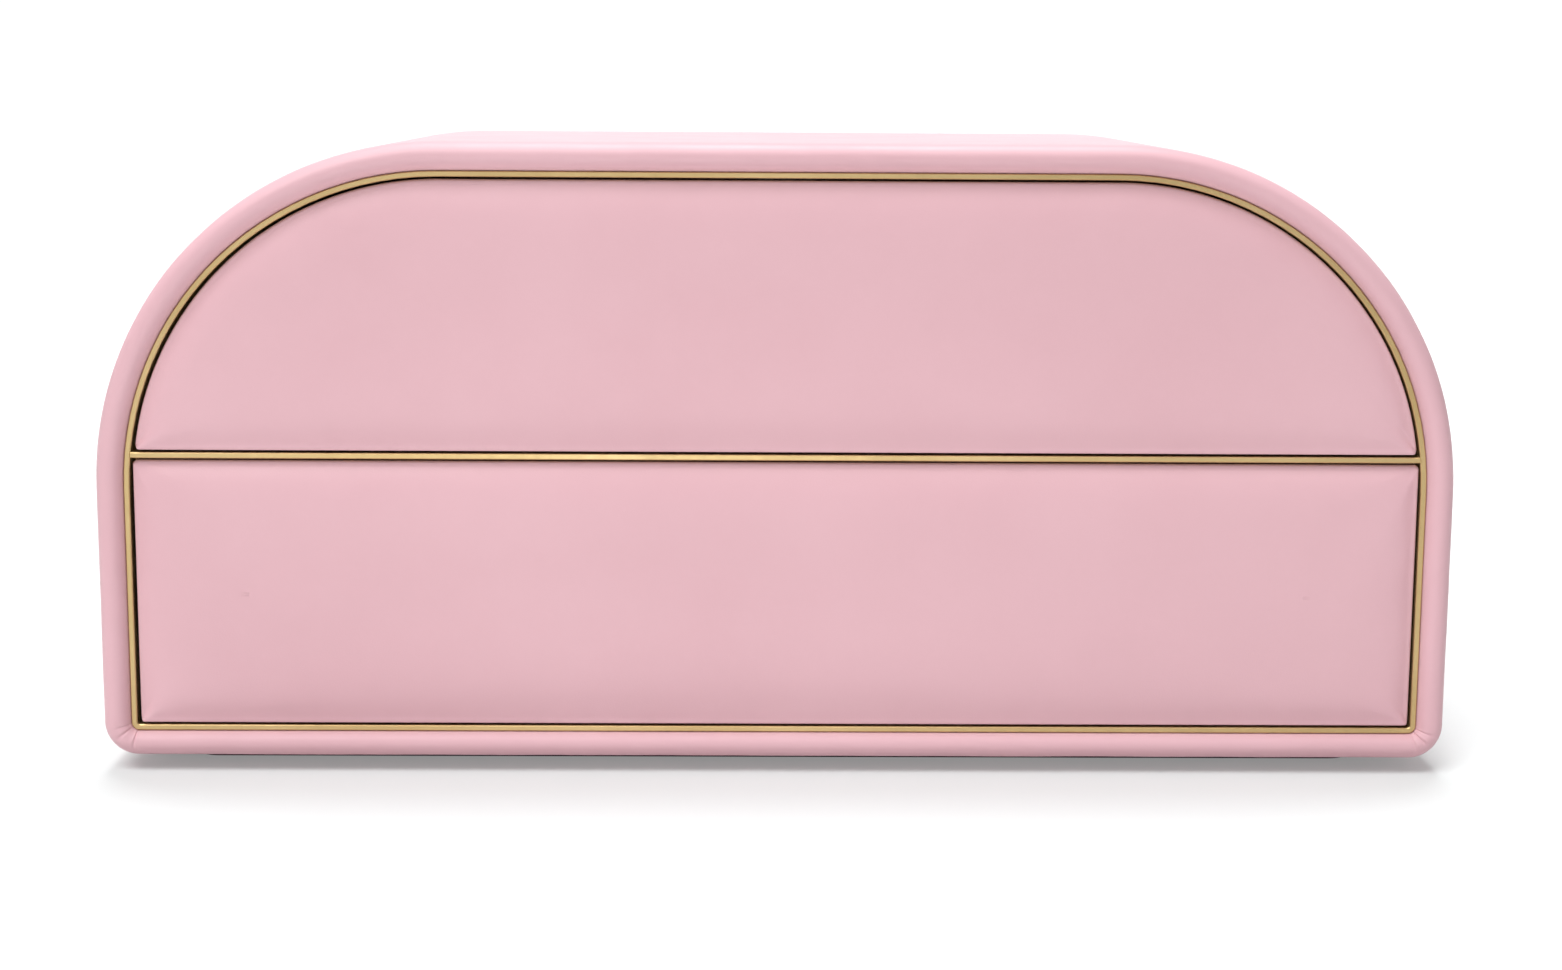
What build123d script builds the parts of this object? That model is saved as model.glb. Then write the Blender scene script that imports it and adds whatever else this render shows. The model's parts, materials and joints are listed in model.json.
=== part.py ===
# Arched two-drawer jewelry box: leather-covered wooden case, brass trim frame,
# two push-to-open drawers on miniature ball slides, suede-lined interior.
# Frame: +Z up, front faces -Y, origin on the resting plane under the centre of the box.
# Millimetres throughout.
import os
from build123d import *

os.makedirs("parts", exist_ok=True)

# ---------------------------------------------------------------- driving dimensions
WIDTH = 450.0            # over the leather
BODY_H = 204.8           # leather bottom to leather top
BASE_H = 5.0             # plinth and felt under the body
R_ARCH = 114.0           # outer radius of the two upper corners
R_FOOT = 11.5            # outer radius of the two lower corners
Y_FRONT = -82.5          # crown of the front bead
Y_BACK = 82.5            # outside of the back leather
Y_SHELL = -73.0          # front edge of the wooden shell
SKIN = 2.5               # leather and thin wadding over the shell
WALL = 5.9               # wooden shell
SILL = 0.6               # the bottom board and the bead below the lower drawer are this much thinner
LINING = 1.0             # suede lining
BEAD = 9.4               # width of the padded front bead
TRIM = 1.9               # face width of the brass trim
TRIM_Y = -79.5           # front face of the brass trim
TRIM_BACK = -69.5        # back edge of the brass trim
GAP = 0.8                # reveal between the brass and a drawer front
Z0 = BASE_H
Z_BAR = Z0 + 101.8       # centre height of the brass crossbar
SHELF_T = 6.0            # divider shelf
BACK_IN = 74.5           # inside face of the back board
BACK_OUT = 80.5
BOARD_BACK = -70.0       # back face of the drawer front boards
BOARD_FRONT = -76.5
PAD_FRONT = -82.2        # crown of the drawer front padding
SKIRT = 1.0              # leather turned round the edge of a front board
BOX_T = 6.0              # drawer box sides
BOX_FRONT_IN = -64.0
BOX_BACK_IN = 62.0
BOX_BACK = 68.0
FLOOR_T = 4.0
UP_HW = 190.0            # half width of the upper drawer box
LO_HW = 205.6            # half width of the lower drawer box
UP_Z, UP_H = Z0 + 109.0, 40.0
LO_Z, LO_H = Z0 + 15.0, 60.0
RAIL_Y0, RAIL_Y1 = -67.0, 63.0
RAIL_STACK = 10.0
UP_RAIL_Z, LO_RAIL_Z = Z0 + 121.0, Z0 + 32.0
TRAVEL = 90.0            # drawer travel; the ball cages move half of it
CAGE_Y0, CAGE_Y1 = -20.0, 18.0
BALL_R = 1.2
PLINTH_HW, PLINTH_Y0, PLINTH_Y1 = 202.5, -63.0, 68.0
FELT_T = 1.0
LATCH_W, LATCH_H, LATCH_L = 12.0, 17.0, 44.0
PLUNGER_R = 3.0

A = WIDTH / 2


def slab_plane(y_back):
    """Sketch plane facing the front, local x = X and local y = Z, whose extrusions run towards -Y."""
    return Plane.XZ.offset(-y_back)


def outline(inset, foot=None, mode=Mode.ADD):
    """The case's front outline moved inwards by inset, drawn in the current sketch."""
    foot = max(R_FOOT - inset, 0.6) if foot is None else foot
    low = inset - SILL if inset > SKIN + WALL / 2 else inset
    w, h = WIDTH - 2 * inset, BODY_H - inset - low
    with BuildSketch(mode=Mode.PRIVATE) as o:
        with Locations((0, Z0 + low + h / 2)):
            Rectangle(w, h)
        fillet(o.vertices().group_by(Axis.Y)[-1], R_ARCH - inset)
        fillet(o.vertices().group_by(Axis.Y)[0], foot)
    add(o.sketch_local, mode=mode)


def band(z_low, z_high, mode=Mode.INTERSECT):
    """Keeps only the part of the current sketch between two heights."""
    with Locations((0, (z_low + z_high) / 2)):
        Rectangle(WIDTH + 20, z_high - z_low, mode=mode)


def write(builder, name):
    builder.part.label = name
    export_step(builder.part, f"parts/{name}.step")


def board(x0, x1, y0, y1, z0, z1):
    """Adds a plain board to the current part, by its limits."""
    with Locations(((x0 + x1) / 2, (y0 + y1) / 2, (z0 + z1) / 2)):
        Box(x1 - x0, y1 - y0, z1 - z0)


# ---------------------------------------------------------------- wooden case
DOWEL_AT = [(sx * (A - SKIN - WALL / 2 - 1.05), y) for sx in (-1, 1) for y in (-50, 0, 50)]
DOWEL_R = 1.25
Z_FLOOR = Z0 + SKIN + WALL - SILL

with BuildPart() as arch_shell:
    with BuildSketch(slab_plane(BACK_OUT)):
        outline(SKIN)
        outline(SKIN + WALL, mode=Mode.SUBTRACT)
        band(Z_FLOOR, Z0 + BODY_H)
    extrude(amount=BACK_OUT - Y_SHELL)
    with Locations(*[(x, y, Z_FLOOR + 4.5) for x, y in DOWEL_AT]):
        Cylinder(DOWEL_R, 9.0, mode=Mode.SUBTRACT)
write(arch_shell, "arch_shell")

with BuildPart() as base_board:
    with BuildSketch(slab_plane(BACK_OUT)):
        outline(SKIN)
        band(Z0, Z_FLOOR)
    extrude(amount=BACK_OUT - Y_SHELL)
    with Locations(*[(x, y, Z_FLOOR - 1.0) for x, y in DOWEL_AT]):
        Cylinder(DOWEL_R, 2.0, mode=Mode.SUBTRACT)
write(base_board, "base_board")

with BuildPart() as shell_dowels:
    with Locations(*[(x, y, Z_FLOOR + 3.5) for x, y in DOWEL_AT]):
        Cylinder(DOWEL_R, 11.0)
write(shell_dowels, "shell_dowels")

with BuildPart() as back_board:
    with BuildSketch(slab_plane(BACK_OUT)):
        outline(SKIN + WALL)
    extrude(amount=BACK_OUT - BACK_IN)
write(back_board, "back_board")

with BuildPart() as divider_shelf:
    with BuildSketch(slab_plane(BACK_IN)):
        outline(SKIN + WALL)
        band(Z_BAR - SHELF_T / 2, Z_BAR + SHELF_T / 2)
    extrude(amount=BACK_IN - TRIM_BACK)
write(divider_shelf, "divider_shelf")

# ---------------------------------------------------------------- leather, bead and back
with BuildPart() as outer_leather:
    with BuildSketch(slab_plane(Y_BACK)):
        outline(0)
    extrude(amount=Y_BACK - Y_SHELL)
    fillet(outer_leather.faces().sort_by(Axis.Y)[-1].edges(), 2.2)
    with BuildSketch(slab_plane(Y_BACK)):
        outline(SKIN)
    extrude(amount=Y_BACK - Y_SHELL, mode=Mode.SUBTRACT)
write(outer_leather, "outer_leather")

with BuildPart() as back_leather:
    with BuildSketch(slab_plane(Y_BACK)):
        outline(SKIN)
    extrude(amount=Y_BACK - BACK_OUT)
    fillet(back_leather.faces().sort_by(Axis.Y)[-1].edges(), 0.8)
write(back_leather, "back_leather")

FOOT_TRIM = 2.6          # outside corner radius of the brass at the bottom


def bead_ring(inset_out, inset_in, y_front, r_out, r_in, foot_in):
    """A ring in front of the shell, rounded over on its outer and inner front edges."""
    with BuildPart() as ring:
        with BuildSketch(slab_plane(Y_SHELL)):
            outline(inset_out)
        extrude(amount=Y_SHELL - y_front)
        fillet(ring.faces().sort_by(Axis.Y)[0].edges(), r_out)
        with BuildSketch(slab_plane(Y_SHELL)):
            outline(inset_in, foot=foot_in)
        extrude(amount=Y_SHELL - y_front, mode=Mode.SUBTRACT)
        fillet(ring.faces().sort_by(Axis.Y)[0].inner_wires()[0].edges(), r_in)
    return ring


bead_outer = bead_ring(0.0, BEAD, Y_FRONT, 5.2, 3.7, FOOT_TRIM)
bead_core = bead_ring(1.2, BEAD - 1.2, Y_FRONT + 1.2, 4.0, 2.5, FOOT_TRIM + 1.2)

with BuildPart() as front_bead_foam:
    add(bead_core.part)
write(front_bead_foam, "front_bead_foam")

with BuildPart() as front_bead_leather:
    add(bead_outer.part)
    add(bead_core.part, mode=Mode.SUBTRACT)
write(front_bead_leather, "front_bead_leather")

# ---------------------------------------------------------------- brass trim
with BuildPart() as brass_frame:
    with BuildSketch(slab_plane(TRIM_BACK)):
        outline(BEAD, foot=FOOT_TRIM)
        outline(BEAD + TRIM, foot=1.0, mode=Mode.SUBTRACT)
    extrude(amount=TRIM_BACK - TRIM_Y)
    chamfer(brass_frame.faces().sort_by(Axis.Y)[0].edges(), 0.3)
write(brass_frame, "brass_frame")

with BuildPart() as brass_crossbar:
    with BuildSketch(slab_plane(TRIM_BACK)):
        outline(BEAD + TRIM, foot=1.0)
        band(Z_BAR - TRIM / 2, Z_BAR + TRIM / 2)
    extrude(amount=TRIM_BACK - TRIM_Y)
    chamfer(
        brass_crossbar.faces().sort_by(Axis.Y)[0].edges().filter_by(Axis.X), 0.3
    )
write(brass_crossbar, "brass_crossbar")

# ---------------------------------------------------------------- suede linings of the two compartments
SHELF_TOP, SHELF_BOT = Z_BAR + SHELF_T / 2, Z_BAR - SHELF_T / 2


def compartment_lining(z_low, z_high):
    """A sleeve with a closed back, one lining thick."""
    with BuildPart() as sleeve:
        with BuildSketch(slab_plane(BACK_IN)):
            outline(SKIN + WALL)
            band(z_low, z_high)
        extrude(amount=BACK_IN - Y_SHELL)
        with BuildSketch(slab_plane(BACK_IN - LINING)):
            outline(SKIN + WALL + LINING)
            band(z_low + LINING if z_low > Z_FLOOR + 1 else z_low, z_high - LINING if z_high < Z0 + BODY_H - 20 else z_high)
        extrude(amount=BACK_IN - LINING - Y_SHELL, mode=Mode.SUBTRACT)
        # nothing stands in front of the shelf and the crossbar
        if z_low > Z_FLOOR + 1:
            board_cut(z_low, z_low + LINING)
        if z_high < Z0 + BODY_H - 20:
            board_cut(z_high - LINING, z_high)
    return sleeve


def board_cut(z0, z1):
    with Locations((0, (Y_SHELL + TRIM_BACK) / 2, (z0 + z1) / 2)):
        Box(2 * A, TRIM_BACK - Y_SHELL, z1 - z0, mode=Mode.SUBTRACT)


lower_lining = compartment_lining(Z_FLOOR, SHELF_BOT)
write(lower_lining, "lower_lining")
upper_lining = compartment_lining(SHELF_TOP, Z0 + BODY_H)
write(upper_lining, "upper_lining")

# wooden blocks that give the upper slides an upright face inside the arch
BLOCK_X = UP_HW + RAIL_STACK
with BuildPart() as upper_runner_blocks:
    with BuildSketch(slab_plane(64.0)):
        outline(SKIN + WALL + LINING)
        band(SHELF_TOP + LINING, UP_RAIL_Z + 11.0)
        with Locations((0, UP_RAIL_Z)):
            Rectangle(2 * BLOCK_X, 60, mode=Mode.SUBTRACT)
    extrude(amount=64.0 + 68.0)
write(upper_runner_blocks, "upper_runner_blocks")

# ---------------------------------------------------------------- plinth
with BuildPart() as plinth:
    with BuildSketch(Plane.XY.offset(FELT_T)):
        with Locations((0, (PLINTH_Y0 + PLINTH_Y1) / 2)):
            RectangleRounded(2 * PLINTH_HW, PLINTH_Y1 - PLINTH_Y0, 12.0)
    extrude(amount=BASE_H - FELT_T)
    chamfer(plinth.faces().sort_by(Axis.Z)[0].edges(), 0.6)
write(plinth, "plinth")

with BuildPart() as plinth_felt:
    with BuildSketch(Plane.XY):
        with Locations((0, (PLINTH_Y0 + PLINTH_Y1) / 2)):
            RectangleRounded(2 * PLINTH_HW - 5, PLINTH_Y1 - PLINTH_Y0 - 5, 9.5)
    extrude(amount=FELT_T)
write(plinth_felt, "plinth_felt")


def screw(length, shank_r=1.2, head_r=2.4, head_h=1.1):
    """Countersunk screw: its flush head faces +Z at the origin and its shank runs to -Z."""
    with BuildPart(mode=Mode.PRIVATE) as s:
        with BuildSketch(Plane.XZ):
            with BuildLine():
                Polyline(
                    (0, 0), (head_r, 0), (shank_r, -head_h), (shank_r, -length + 1.2),
                    (0.15, -length), (0, -length), close=True,
                )
            make_face()
        revolve(axis=Axis.Z)
        # cross recess
        with Locations((0, 0, 0)):
            Box(2.4, 0.5, 1.0, mode=Mode.SUBTRACT)
            Box(0.5, 2.4, 1.0, mode=Mode.SUBTRACT)
    return s.part


screw_long = screw(9.0)
screw_rail = screw(6.5)
screw_box = screw(5.5)

with BuildPart() as plinth_screws:
    with Locations(*[Location((x, y, FELT_T), (180, 0, 0)) for x in (-170, 0, 170) for y in (-45, 50)]):
        add(screw_long)
write(plinth_screws, "plinth_screws")

# ---------------------------------------------------------------- miniature ball slides
RAIL_SCREW_Y = (-52.0, 50.0)


def case_rail(x_wall, z_c):
    """Outer member of a slide: a channel screwed to an upright wall at x_wall on the +X side."""
    with BuildPart() as rail:
        with BuildSketch(slab_plane(RAIL_Y1)):
            with BuildLine():
                Polyline(*[(x_wall - u, z_c + v) for u, v in (
                    (0, -8.5), (8.4, -8.5), (8.4, -6.7), (7.6, -6.7), (7.6, -7.3), (1.2, -7.3),
                    (1.2, 7.3), (7.6, 7.3), (7.6, 6.7), (8.4, 6.7), (8.4, 8.5), (0, 8.5))], close=True)
            make_face()
        extrude(amount=RAIL_Y1 - RAIL_Y0)
        with Locations(*[Location((x_wall, y, z_c), (0, -90, 0)) for y in RAIL_SCREW_Y]):
            Cone(1.25, 2.5, 1.2, align=(Align.CENTER, Align.CENTER, Align.MIN), mode=Mode.SUBTRACT)
    return rail


def drawer_rail(x_wall, z_c):
    """Inner member of a slide, screwed to the drawer's side."""
    with BuildPart() as rail:
        with BuildSketch(slab_plane(RAIL_Y1)):
            with BuildLine():
                Polyline(*[(x_wall - u, z_c + v) for u, v in (
                    (10, -4.5), (3.9, -4.5), (3.9, -5.0), (2.9, -5.0), (2.9, -3.3), (8.8, -3.3),
                    (8.8, 3.3), (2.9, 3.3), (2.9, 5.0), (3.9, 5.0), (3.9, 4.5), (10, 4.5))], close=True)
            make_face()
        extrude(amount=RAIL_Y1 - RAIL_Y0)
        with Locations(*[Location((x_wall - 10, y, z_c), (0, 90, 0)) for y in RAIL_SCREW_Y]):
            Cone(1.25, 2.5, 1.2, align=(Align.CENTER, Align.CENTER, Align.MIN), mode=Mode.SUBTRACT)
    return rail


def ball_cage(x_wall, z_c):
    """Sheet cage with eight steel balls; it rides half as far as the drawer."""
    n = 4
    pitch = (CAGE_Y1 - CAGE_Y0 - 8.0) / (n - 1)
    ball_at = [(x_wall - 5.8, CAGE_Y0 + 4.0 + i * pitch, z_c + s * 5.9) for i in range(n) for s in (-1, 1)]
    with BuildPart() as cage:
        with BuildSketch(slab_plane(CAGE_Y1)):
            with BuildLine():
                Polyline(*[(x_wall - u, z_c + v) for u, v in (
                    (1.6, -6.15), (7.3, -6.15), (7.3, -5.65), (2.1, -5.65),
                    (2.1, 5.65), (7.3, 5.65), (7.3, 6.15), (1.6, 6.15))], close=True)
            make_face()
        extrude(amount=CAGE_Y1 - CAGE_Y0)
        with Locations(*ball_at):
            Cylinder(1.3, 2.0, mode=Mode.SUBTRACT)
        with Locations(*ball_at):
            Sphere(BALL_R)
    return cage


def mirrored(builder):
    with BuildPart() as other:
        mirror(builder.part, about=Plane.YZ)
    return other


UP_WALL, LO_WALL = UP_HW + RAIL_STACK, LO_HW + RAIL_STACK
for level, x_wall, z_c in (("upper", UP_WALL, UP_RAIL_Z), ("lower", LO_WALL, LO_RAIL_Z)):
    for maker, what in ((case_rail, "case_rail"), (drawer_rail, "drawer_rail"), (ball_cage, "ball_cage")):
        right = maker(x_wall, z_c)
        left = mirrored(right)
        write(right, f"{level}_{what}_right")
        write(left, f"{level}_{what}_left")

with BuildPart() as case_rail_screws:
    for x_wall, z_c in ((UP_WALL, UP_RAIL_Z), (LO_WALL, LO_RAIL_Z)):
        with Locations(*[Location((sx * (x_wall - 1.15), y, z_c), (0, -90 * sx, 0)) for sx in (-1, 1) for y in RAIL_SCREW_Y]):
            add(screw_rail)
write(case_rail_screws, "case_rail_screws")

# ---------------------------------------------------------------- push latches
# Z of the top of each latch body, which hangs from the compartment's ceiling lining
UP_LATCH_TOP = Z0 + BODY_H - SKIN - WALL - LINING
LO_LATCH_TOP = SHELF_BOT - LINING
LATCH_Y0 = -66.0
PLUNGER_DROP = 11.0      # plunger axis below the top of the latch body
TIP_Y = -68.8


def latch_housing(z_top):
    """Latch body with a blind plunger bore and two fixing ears."""
    with BuildPart() as body:
        with Locations((0, LATCH_Y0 + LATCH_L / 2, z_top - LATCH_H / 2)):
            Box(LATCH_W, LATCH_L, LATCH_H)
        fillet(body.edges().filter_by(Axis.Y).group_by(Axis.Z)[0], 3.0)
        with BuildSketch(Plane.XY.offset(z_top - 3.0)):
            with Locations(*[(0, y) for y in (LATCH_Y0 + 8, LATCH_Y0 + LATCH_L - 8)]):
                RectangleRounded(30, 10, 2.5)
        extrude(amount=3.0)
        with Locations(Location((0, LATCH_Y0, z_top - PLUNGER_DROP), (-90, 0, 0))):
            Cylinder(PLUNGER_R + 0.1, 34.0, align=(Align.CENTER, Align.CENTER, Align.MIN), mode=Mode.SUBTRACT)
        with Locations(*[(sx * 10.5, y, z_top - 1.5) for sx in (-1, 1) for y in (LATCH_Y0 + 8, LATCH_Y0 + LATCH_L - 8)]):
            Cylinder(1.3, 3.0, mode=Mode.SUBTRACT)
    return body


def latch_plunger(z_top):
    """Sprung plunger with a flat magnetic tip, touching the strike plate when the drawer is shut."""
    with BuildPart() as pin:
        with Locations(Location((0, TIP_Y, z_top - PLUNGER_DROP), (-90, 0, 0))):
            Cylinder(PLUNGER_R, 26.0, align=(Align.CENTER, Align.CENTER, Align.MIN))
        chamfer(pin.faces().sort_by(Axis.Y)[0].edges(), 0.5)
    return pin


def strike_plate(z_top):
    with BuildPart() as plate:
        with Locations(Location((0, BOARD_BACK, z_top - PLUNGER_DROP), (-90, 0, 0))):
            Cylinder(5.0, 1.0, align=(Align.CENTER, Align.CENTER, Align.MIN))
        chamfer(plate.faces().sort_by(Axis.Y)[-1].edges(), 0.25)
    return plate


for level, z_top in (("upper", UP_LATCH_TOP), ("lower", LO_LATCH_TOP)):
    write(latch_housing(z_top), f"{level}_latch_housing")
    write(latch_plunger(z_top), f"{level}_latch_plunger")
    write(strike_plate(z_top), f"{level}_strike_plate")

with BuildPart() as latch_screws:
    for z_top in (UP_LATCH_TOP, LO_LATCH_TOP):
        with Locations(*[Location((sx * 10.5, y, z_top - 3.0), (180, 0, 0)) for sx in (-1, 1) for y in (LATCH_Y0 + 8, LATCH_Y0 + LATCH_L - 8)]):
            add(screw(6.6, shank_r=1.2, head_r=2.2, head_h=0.9))
write(latch_screws, "latch_screws")

# ---------------------------------------------------------------- drawer fronts
PAD_IN = BEAD + TRIM + GAP
UP_PAD_LOW = Z_BAR + TRIM / 2 + GAP
LO_PAD_HIGH = Z_BAR - TRIM / 2 - GAP


def front_shape(level, shrink):
    """Outline of a drawer front, moved inwards by shrink, in the current sketch."""
    outline(PAD_IN + shrink, foot=max(1.6 - shrink, 0.5))
    if level == "upper":
        band(UP_PAD_LOW + shrink, Z0 + BODY_H)
    else:
        band(Z0, LO_PAD_HIGH - shrink)


def front_board(level):
    with BuildPart() as b:
        with BuildSketch(slab_plane(BOARD_BACK)):
            front_shape(level, SKIRT)
        extrude(amount=BOARD_BACK - BOARD_FRONT)
    return b


def front_pad(level):
    """Leather-covered foam: rounded front edges, and a skirt turned back round the board."""
    with BuildPart() as pad:
        with BuildSketch(slab_plane(BOARD_BACK - 0.5)):
            front_shape(level, 0.0)
        extrude(amount=BOARD_BACK - 0.5 - PAD_FRONT)
        fillet(pad.faces().sort_by(Axis.Y)[0].edges(), 3.2)
        with BuildSketch(slab_plane(BOARD_BACK)):
            front_shape(level, SKIRT)
        extrude(amount=BOARD_BACK - BOARD_FRONT, mode=Mode.SUBTRACT)
    return pad


for level in ("upper", "lower"):
    write(front_board(level), f"{level}_front_board")
    write(front_pad(level), f"{level}_front_pad")


# ---------------------------------------------------------------- drawer boxes
def box_side(hw, z, h):
    with BuildPart() as s:
        board(hw - BOX_T, hw, BOARD_BACK, BOX_BACK, z, z + h)
        fillet(s.edges().filter_by(Axis.Y).group_by(Axis.Z)[-1], 1.2)
    return s


for level, hw, z, h in (("upper", UP_HW, UP_Z, UP_H), ("lower", LO_HW, LO_Z, LO_H)):
    inner = hw - BOX_T
    right = box_side(hw, z, h)
    write(right, f"{level}_box_right")
    write(mirrored(right), f"{level}_box_left")
    with BuildPart() as box_front:
        board(-inner, inner, BOARD_BACK, BOX_FRONT_IN, z, z + h)
        fillet(box_front.edges().filter_by(Axis.X).group_by(Axis.Z)[-1].sort_by(Axis.Y)[-1:], 1.2)
    write(box_front, f"{level}_box_front")
    with BuildPart() as box_back:
        board(-inner, inner, BOX_BACK_IN, BOX_BACK, z, z + h)
        fillet(box_back.edges().filter_by(Axis.X).group_by(Axis.Z)[-1], 1.2)
    write(box_back, f"{level}_box_back")
    with BuildPart() as box_floor:
        board(-inner, inner, BOX_FRONT_IN, BOX_BACK_IN, z, z + FLOOR_T)
    write(box_floor, f"{level}_box_floor")
    with BuildPart() as drawer_lining:
        board(-inner, inner, BOX_FRONT_IN, BOX_BACK_IN, z + FLOOR_T, z + h - 2.0)
        with Locations((0, (BOX_FRONT_IN + BOX_BACK_IN) / 2, z + FLOOR_T + LINING)):
            Box(2 * inner - 2 * LINING, BOX_BACK_IN - BOX_FRONT_IN - 2 * LINING, h,
                align=(Align.CENTER, Align.CENTER, Align.MIN), mode=Mode.SUBTRACT)
    write(drawer_lining, f"{level}_drawer_lining")
    with BuildPart() as drawer_screws:
        # through the slide members into the box sides
        z_c = UP_RAIL_Z if level == "upper" else LO_RAIL_Z
        with Locations(*[Location((sx * (hw + 1.15), y, z_c), (0, 90 * sx, 0)) for sx in (-1, 1) for y in RAIL_SCREW_Y]):
            add(screw_box)
        # through the box front into the padded front's board
        with Locations(*[Location((x, BOX_FRONT_IN - 0.05, zz), (-90, 0, 0)) for x in (-140, 0, 140) for zz in (z + 12, z + h - 10)]):
            add(screw(10.5))
    write(drawer_screws, f"{level}_drawer_screws")

# ---------------------------------------------------------------- inside the upper drawer
DIV_T = 4.0
DIV_FIT = 0.2            # loose fit of a cross divider between the long ones
UP_FLOOR = UP_Z + FLOOR_T + LINING
LO_FLOOR = LO_Z + FLOOR_T + LINING
IN_Y0, IN_Y1 = BOX_FRONT_IN + LINING, BOX_BACK_IN - LINING
UP_IN, LO_IN = UP_HW - BOX_T - LINING, LO_HW - BOX_T - LINING
UP_DIV_H, LO_DIV_H = 26.0, 42.0

with BuildPart() as upper_dividers:
    board(-DIV_T / 2, DIV_T / 2, IN_Y0, IN_Y1, UP_FLOOR, UP_FLOOR + UP_DIV_H)
    board(93.0, 93.0 + DIV_T, IN_Y0, IN_Y1, UP_FLOOR, UP_FLOOR + UP_DIV_H)
    board(DIV_T / 2 + DIV_FIT, 93.0 - DIV_FIT, -3.0, -3.0 + DIV_T, UP_FLOOR, UP_FLOOR + UP_DIV_H)
    board(93.0 + DIV_T + DIV_FIT, UP_IN, -3.0, -3.0 + DIV_T, UP_FLOOR, UP_FLOOR + UP_DIV_H)
write(upper_dividers, "upper_dividers")

ROLLS = 10
ROLL_R = 5.9
roll_pitch = (IN_Y1 - IN_Y0 - 1.0) / ROLLS
with BuildPart() as ring_rolls:
    with Locations(*[Location((-(DIV_T / 2 + UP_IN) / 2, IN_Y0 + 0.5 + (i + 0.5) * roll_pitch, UP_FLOOR + 4.0 + ROLL_R), (0, 90, 0)) for i in range(ROLLS)]):
        Cylinder(ROLL_R, UP_IN - DIV_T / 2 - 2.0)
write(ring_rolls, "ring_rolls")

with BuildPart() as ring_roll_base:
    board(-UP_IN + 0.5, -DIV_T / 2 - 0.5, IN_Y0 + 0.5, IN_Y1 - 0.5, UP_FLOOR, UP_FLOOR + 4.0)
write(ring_roll_base, "ring_roll_base")

# ---------------------------------------------------------------- inside the lower drawer
with BuildPart() as lower_dividers:
    for x in (-68.0, 68.0):
        board(x - DIV_T / 2, x + DIV_T / 2, IN_Y0, IN_Y1, LO_FLOOR, LO_FLOOR + LO_DIV_H)
    board(-LO_IN, -70.0 - DIV_FIT, -3.0, -3.0 + DIV_T, LO_FLOOR, LO_FLOOR + LO_DIV_H)
write(lower_dividers, "lower_dividers")

with BuildPart() as bracelet_pillows:
    with BuildSketch(Plane.YZ.offset(-50.0)):
        with Locations(*[(y, LO_FLOOR + 16.5) for y in (-41.5, -1.0, 39.5)]):
            RectangleRounded(36.0, 33.0, 13.0)
    extrude(amount=100.0)
    fillet(bracelet_pillows.faces().filter_by(Axis.X).edges(), 8.0)
write(bracelet_pillows, "bracelet_pillows")

print("overall", WIDTH, Y_BACK - Y_FRONT, Z0 + BODY_H)
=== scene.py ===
# Looks for the arched two-drawer jewelry box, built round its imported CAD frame.
# Lengths in the helpers are millimetres; meshes are written in metres.
import json
import math

import bmesh
import bpy
import numpy as np
from mathutils import Matrix, Vector
from mathutils import noise as mnoise
from mathutils.bvhtree import BVHTree


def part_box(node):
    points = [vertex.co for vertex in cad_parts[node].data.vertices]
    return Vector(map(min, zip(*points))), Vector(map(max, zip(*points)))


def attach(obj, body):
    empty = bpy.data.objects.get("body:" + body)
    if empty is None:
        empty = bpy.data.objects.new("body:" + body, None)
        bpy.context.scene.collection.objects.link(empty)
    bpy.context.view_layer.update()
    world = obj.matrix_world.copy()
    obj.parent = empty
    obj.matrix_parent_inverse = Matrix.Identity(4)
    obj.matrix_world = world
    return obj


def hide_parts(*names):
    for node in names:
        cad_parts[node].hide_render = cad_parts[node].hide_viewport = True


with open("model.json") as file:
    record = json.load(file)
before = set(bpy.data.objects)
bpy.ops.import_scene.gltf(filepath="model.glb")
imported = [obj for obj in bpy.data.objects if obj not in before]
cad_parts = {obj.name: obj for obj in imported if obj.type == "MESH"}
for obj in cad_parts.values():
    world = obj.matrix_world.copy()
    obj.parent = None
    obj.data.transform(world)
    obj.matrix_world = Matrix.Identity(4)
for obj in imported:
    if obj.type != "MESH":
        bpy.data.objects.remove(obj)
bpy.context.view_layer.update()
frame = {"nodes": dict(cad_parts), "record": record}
NODES = frame["nodes"]
SLOT_OF = {s["node"]: s["material_slot"] for s in frame["record"]["subparts"]}

# ------------------------------------------------------------------ sizes, the same as the CAD's
A, Z0, BODY_H = 225.0, 5.0, 204.8
R_ARCH, R_FOOT, SILL = 114.0, 11.5, 0.6
BEAD, TRIM, GAP, FOOT_TRIM = 9.4, 1.9, 0.8, 2.6
Z_BAR = Z0 + 101.8
PAD_IN = BEAD + TRIM + GAP
UP_PAD_LOW = Z_BAR + TRIM / 2 + GAP
LO_PAD_HIGH = Z_BAR - TRIM / 2 - GAP


# ------------------------------------------------------------------ mesh helpers
def mesh_object(name, verts, faces, material, smooth=True):
    me = bpy.data.meshes.new(name)
    me.from_pydata([(x / 1000, y / 1000, z / 1000) for x, y, z in verts], [], faces)
    me.validate()
    bm = bmesh.new()
    bm.from_mesh(me)
    bmesh.ops.remove_doubles(bm, verts=bm.verts, dist=1e-6)
    bmesh.ops.recalc_face_normals(bm, faces=bm.faces)
    bm.to_mesh(me)
    bm.free()
    if smooth:
        me.polygons.foreach_set("use_smooth", [True] * len(me.polygons))
    ob = bpy.data.objects.new(name, me)
    bpy.context.scene.collection.objects.link(ob)
    if material:
        me.materials.append(material)
    return ob


def place(ob, body, nodes=()):
    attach(ob, body)
    if nodes:
        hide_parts(*nodes)
    return ob


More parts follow.
